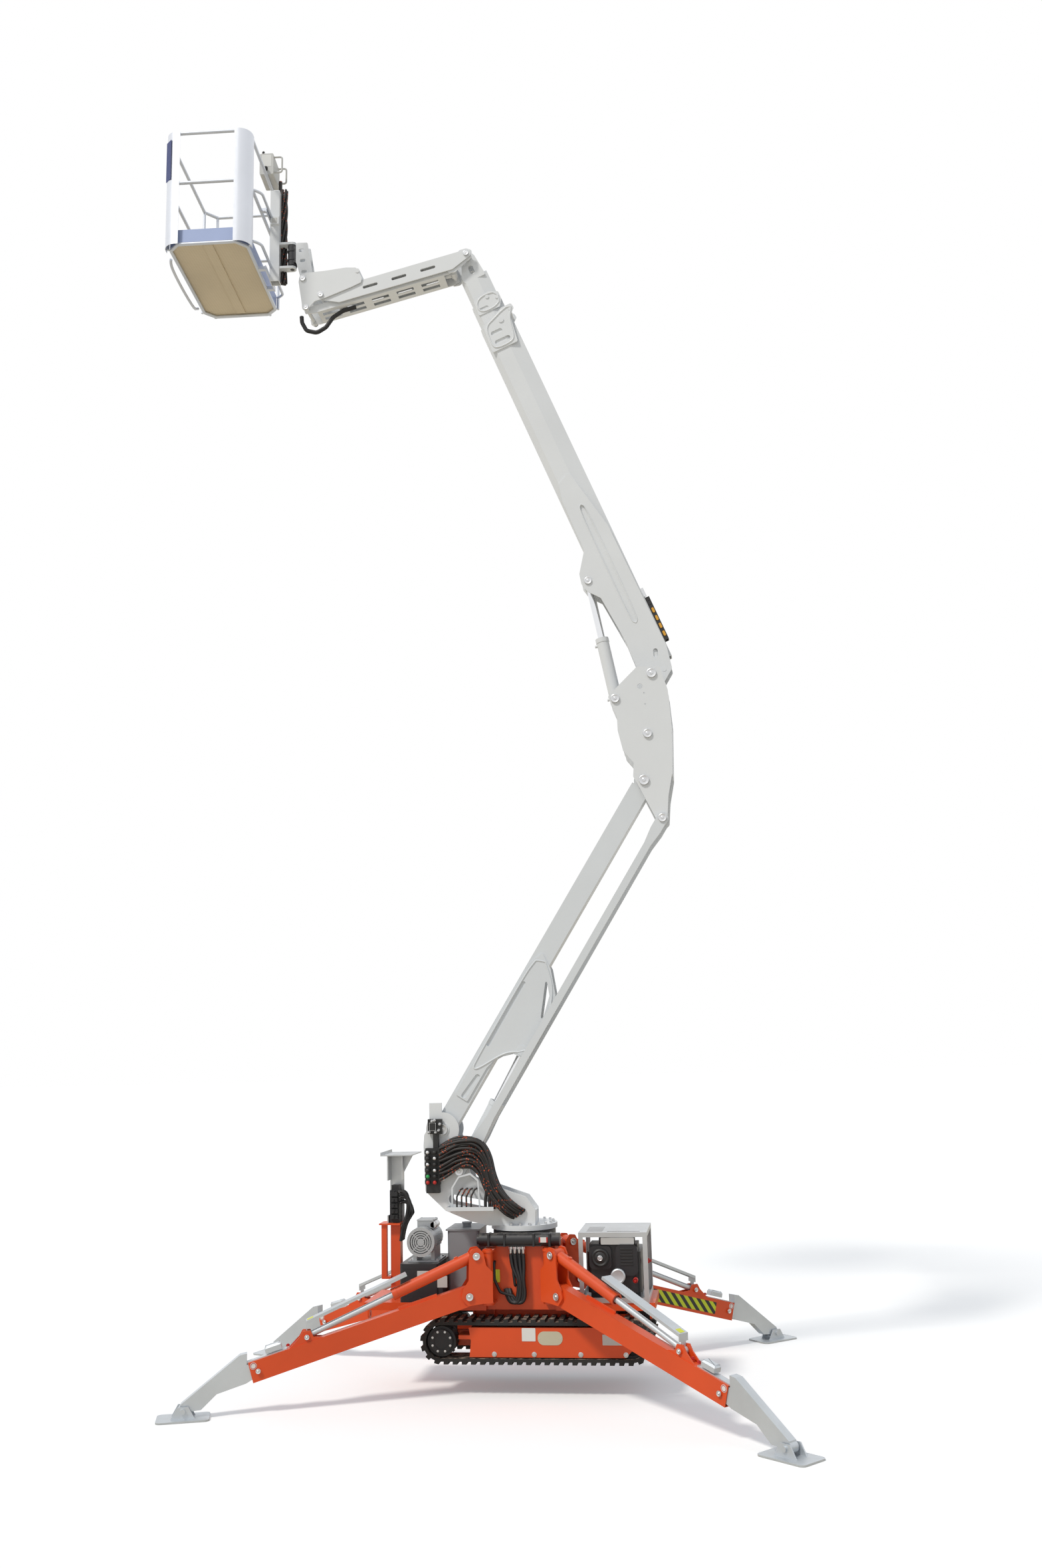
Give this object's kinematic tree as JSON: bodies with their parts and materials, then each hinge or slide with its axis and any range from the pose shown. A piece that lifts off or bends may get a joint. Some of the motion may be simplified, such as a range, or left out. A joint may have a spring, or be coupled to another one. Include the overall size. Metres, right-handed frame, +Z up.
{
  "type": "spider lift",
  "caption": "Tracked aerial work platform on four outriggers, with a raised arm, telescopic boom, jib and basket.",
  "frame": {"origin": "on the floor, at the centre of the bounding box of the object as it stands", "axes": "+Z up; +X from the basket end and front mast to the engine end, along the tracks; -Y the side with the control valves, towards the viewer"},
  "size_m": [5.4896, 4.1934, 11.6918],
  "materials": {
    "white_paint": "satin",
    "grey_paint": "satin",
    "orange_paint": "satin",
    "black_paint": "satin",
    "galvanised": "matte",
    "chrome": "polished",
    "aluminium": "brushed",
    "track_rubber": "matte",
    "hose_rubber": "satin",
    "dark_iron": "matte",
    "black_plastic": "matte",
    "pale_plastic": "matte"
  },
  "bodies": {
    "chassis": {"chassis_frame": "orange_paint", "track_frames": "orange_paint", "track_near": "track_rubber", "track_far": "track_rubber", "track_wheels": "dark_iron", "slew_ring": "black_paint", "front_mast": "galvanised", "boom_rest": "galvanised", "valve_blocks": "dark_iron", "electric_motor": "grey_paint", "oil_tank": "grey_paint", "power_box": "orange_paint", "engine_guard": "orange_paint", "engine": "black_paint", "leg_brackets": "orange_paint", "chassis_hoses": "hose_rubber"},
    "turret": {"turret_frame": "white_paint", "valve_bank": "dark_iron", "turret_hoses": "hose_rubber", "hose_tray": "grey_paint"},
    "arm": {"lower_arm": "grey_paint"},
    "tie": {"tie_rod": "white_paint"},
    "arm_barrel": {"arm_ram_barrel": "white_paint"},
    "arm_rod": {"arm_ram_rod": "chrome"},
    "riser": {"riser": "white_paint"},
    "boom_outer": {"boom_base": "white_paint", "cable_chain": "black_plastic"},
    "boom_barrel": {"boom_ram_barrel": "white_paint"},
    "boom_rod": {"boom_ram_rod": "chrome"},
    "boom_middle": {"boom_mid": "white_paint"},
    "boom_tip": {"boom_inner": "white_paint"},
    "head": {"jib_head": "white_paint"},
    "upper_link": {"jib_upper_link": "white_paint"},
    "lower_link": {"jib_lower_link": "white_paint", "jib_hose": "hose_rubber"},
    "yoke": {"jib_yoke": "white_paint", "rotator": "black_paint"},
    "jib_barrel": {"jib_ram_barrel": "white_paint"},
    "jib_rod": {"jib_ram_rod": "chrome"},
    "basket": {"basket_bracket": "white_paint", "basket_frame": "aluminium", "basket_floor": "aluminium", "control_box": "pale_plastic", "basket_hose": "hose_rubber"},
    "near_front_leg": {"near_front_beam": "grey_paint", "near_front_foot": "galvanised"},
    "near_front_leg_barrel": {"near_front_barrel": "orange_paint"},
    "near_front_leg_rod": {"near_front_rod": "chrome"},
    "far_front_leg": {"far_front_beam": "grey_paint", "far_front_foot": "galvanised"},
    "far_front_leg_barrel": {"far_front_barrel": "orange_paint"},
    "far_front_leg_rod": {"far_front_rod": "chrome"},
    "near_rear_leg": {"near_rear_beam": "grey_paint", "near_rear_foot": "galvanised"},
    "near_rear_leg_barrel": {"near_rear_barrel": "orange_paint"},
    "near_rear_leg_rod": {"near_rear_rod": "chrome"},
    "far_rear_leg": {"far_rear_beam": "grey_paint", "far_rear_foot": "galvanised"},
    "far_rear_leg_barrel": {"far_rear_barrel": "orange_paint"},
    "far_rear_leg_rod": {"far_rear_rod": "chrome"}
  },
  "joints": [
    {"name": "slew", "type": "hinge", "parent": "chassis", "child": "turret", "pos_m": [0.49196, 0, 1.29], "axis": [0, 0, 1], "range_deg": [0, 360]},
    {"name": "arm_lift", "type": "hinge", "parent": "turret", "child": "arm", "pos_m": [-0.15204, -0.11, 2.063], "axis": [0, -1, 0], "range_deg": [-73, 14]},
    {"name": "boom_lift", "type": "hinge", "parent": "riser", "child": "boom_outer", "pos_m": [1.75327, 0.11, 5.89091], "axis": [0, 1, 0], "range_deg": [-71, 8]},
    {"name": "telescope", "type": "slide", "parent": "boom_outer", "child": "boom_middle", "axis": [-0.3697, 0, 0.9291], "range_m": [0, 2.75]},
    {"name": "jib_lift", "type": "hinge", "parent": "head", "child": "upper_link", "pos_m": [0.14638, 0.11, 10.20876], "axis": [0, 1, 0], "range_deg": [-8, 60]},
    {"name": "basket_turn", "type": "hinge", "parent": "yoke", "child": "basket", "pos_m": [-1.61804, 0.11, 10.34], "axis": [0, 0, 1], "range_deg": [-65, 55]},
    {"name": "tie_swing", "type": "hinge", "parent": "turret", "child": "tie", "pos_m": [-0.00804, -0.11, 1.726], "axis": [0, -1, 0], "range_deg": [-74, 15]},
    {"name": "riser_level", "type": "hinge", "parent": "arm", "child": "riser", "pos_m": [1.65127, -0.11, 4.94891], "axis": [0, -1, 0], "range_deg": [-15, 74]},
    {"name": "head_level", "type": "hinge", "parent": "boom_tip", "child": "head", "pos_m": [0.14638, 0.11, 10.20876], "axis": [0, 1, 0], "range_deg": [-9, 72]},
    {"name": "telescope_tip", "type": "slide", "parent": "boom_middle", "child": "boom_tip", "axis": [-0.3697, 0, 0.9291], "range_m": [-0.01, 2.76]},
    {"name": "lower_swing", "type": "hinge", "parent": "head", "child": "lower_link", "pos_m": [0.00238, 0.11, 10.08876], "axis": [0, 1, 0], "range_deg": [-9, 61]},
    {"name": "yoke_level", "type": "hinge", "parent": "upper_link", "child": "yoke", "pos_m": [-1.28362, 0.11, 9.92076], "axis": [0, 1, 0], "range_deg": [-61, 9]},
    {"name": "arm_barrel_swing", "type": "hinge", "parent": "turret", "child": "arm_barrel", "pos_m": [-0.00804, -0.11, 1.726], "axis": [0, -1, 0], "range_deg": [-69.2, 13.92]},
    {"name": "arm_rod_slide", "type": "slide", "parent": "arm_barrel", "child": "arm_rod", "axis": [0.4907, 0, 0.8714], "range_m": [-0.4311, 0.0859]},
    {"name": "boom_barrel_swing", "type": "hinge", "parent": "riser", "child": "boom_barrel", "pos_m": [1.42927, 0.11, 5.68191], "axis": [0, 1, 0], "range_deg": [-78.33, 9.54]},
    {"name": "boom_rod_slide", "type": "slide", "parent": "boom_barrel", "child": "boom_rod", "axis": [-0.1853, 0, 0.9827], "range_m": [-0.4442, 0.0536]},
    {"name": "jib_barrel_swing", "type": "hinge", "parent": "head", "child": "jib_barrel", "pos_m": [0.00238, 0.11, 10.08876], "axis": [0, 1, 0], "range_deg": [-9.4, 65.31]},
    {"name": "jib_rod_slide", "type": "slide", "parent": "jib_barrel", "child": "jib_rod", "axis": [-0.9928, 0, -0.12], "range_m": [-0.0255, 0.165]},
    {"name": "near_front_lift", "type": "hinge", "parent": "chassis", "child": "near_front_leg", "pos_m": [0.08696, -0.44, 0.778], "axis": [0.3173, -0.9483, 0], "range_deg": [-56, 3]},
    {"name": "near_front_barrel_swing", "type": "hinge", "parent": "chassis", "child": "near_front_leg_barrel", "pos_m": [0.14386, -0.42096, 1.085], "axis": [0.3173, -0.9483, 0], "range_deg": [-55.53, 3.73]},
    {"name": "near_front_rod_slide", "type": "slide", "parent": "near_front_leg_barrel", "child": "near_front_leg_rod", "axis": [-0.8796, -0.2943, -0.3738], "range_m": [-0.2963, 0.0197]},
    {"name": "far_front_lift", "type": "hinge", "parent": "chassis", "child": "far_front_leg", "pos_m": [0.08696, 0.44, 0.778], "axis": [-0.3173, -0.9483, 0], "range_deg": [-56, 3]},
    {"name": "far_front_barrel_swing", "type": "hinge", "parent": "chassis", "child": "far_front_leg_barrel", "pos_m": [0.14386, 0.42096, 1.085], "axis": [-0.3173, -0.9483, 0], "range_deg": [-55.53, 3.73]},
    {"name": "far_front_rod_slide", "type": "slide", "parent": "far_front_leg_barrel", "child": "far_front_leg_rod", "axis": [-0.8796, 0.2943, -0.3738], "range_m": [-0.2963, 0.0197]},
    {"name": "near_rear_lift", "type": "hinge", "parent": "chassis", "child": "near_rear_leg", "pos_m": [0.85196, -0.44, 0.778], "axis": [0.6534, 0.757, 0], "range_deg": [-56, 3]},
    {"name": "near_rear_barrel_swing", "type": "hinge", "parent": "chassis", "child": "near_rear_leg_barrel", "pos_m": [0.80654, -0.40079, 1.085], "axis": [0.6534, 0.757, 0], "range_deg": [-55.53, 3.73]},
    {"name": "near_rear_rod_slide", "type": "slide", "parent": "near_rear_leg_barrel", "child": "near_rear_leg_rod", "axis": [0.7021, -0.6061, -0.3738], "range_m": [-0.2963, 0.0197]},
    {"name": "far_rear_lift", "type": "hinge", "parent": "chassis", "child": "far_rear_leg", "pos_m": [0.85196, 0.44, 0.778], "axis": [-0.6534, 0.757, 0], "range_deg": [-56, 3]},
    {"name": "far_rear_barrel_swing", "type": "hinge", "parent": "chassis", "child": "far_rear_leg_barrel", "pos_m": [0.80654, 0.40079, 1.085], "axis": [-0.6534, 0.757, 0], "range_deg": [-55.53, 3.73]},
    {"name": "far_rear_rod_slide", "type": "slide", "parent": "far_rear_leg_barrel", "child": "far_rear_leg_rod", "axis": [0.7021, 0.6061, -0.3738], "range_m": [-0.2963, 0.0197]}
  ],
  "couplings": [
    {"joint": "tie_swing", "follows": "arm_lift", "ratio": 1},
    {"joint": "riser_level", "follows": "arm_lift", "ratio": -1},
    {"joint": "head_level", "follows": "boom_lift", "ratio": -1},
    {"joint": "telescope_tip", "follows": "telescope", "ratio": 1},
    {"joint": "lower_swing", "follows": "jib_lift", "ratio": 1},
    {"joint": "yoke_level", "follows": "jib_lift", "ratio": -1},
    {"joint": "arm_barrel_swing", "follows": "arm_lift", "ratio": 0.93705},
    {"joint": "arm_rod_slide", "follows": "arm_lift", "m_per_rad": 0.3352},
    {"joint": "boom_barrel_swing", "follows": "boom_lift", "ratio": 1.092},
    {"joint": "boom_rod_slide", "follows": "boom_lift", "m_per_rad": 0.35526},
    {"joint": "jib_barrel_swing", "follows": "jib_lift", "ratio": 1.0751},
    {"joint": "jib_rod_slide", "follows": "jib_lift", "m_per_rad": 0.15374},
    {"joint": "near_front_barrel_swing", "follows": "near_front_lift", "ratio": 0.97724},
    {"joint": "near_front_rod_slide", "follows": "near_front_lift", "m_per_rad": 0.29907},
    {"joint": "far_front_barrel_swing", "follows": "far_front_lift", "ratio": 0.97724},
    {"joint": "far_front_rod_slide", "follows": "far_front_lift", "m_per_rad": 0.29907},
    {"joint": "near_rear_barrel_swing", "follows": "near_rear_lift", "ratio": 0.97724},
    {"joint": "near_rear_rod_slide", "follows": "near_rear_lift", "m_per_rad": 0.29907},
    {"joint": "far_rear_barrel_swing", "follows": "far_rear_lift", "ratio": 0.97724},
    {"joint": "far_rear_rod_slide", "follows": "far_rear_lift", "m_per_rad": 0.29907}
  ]
}
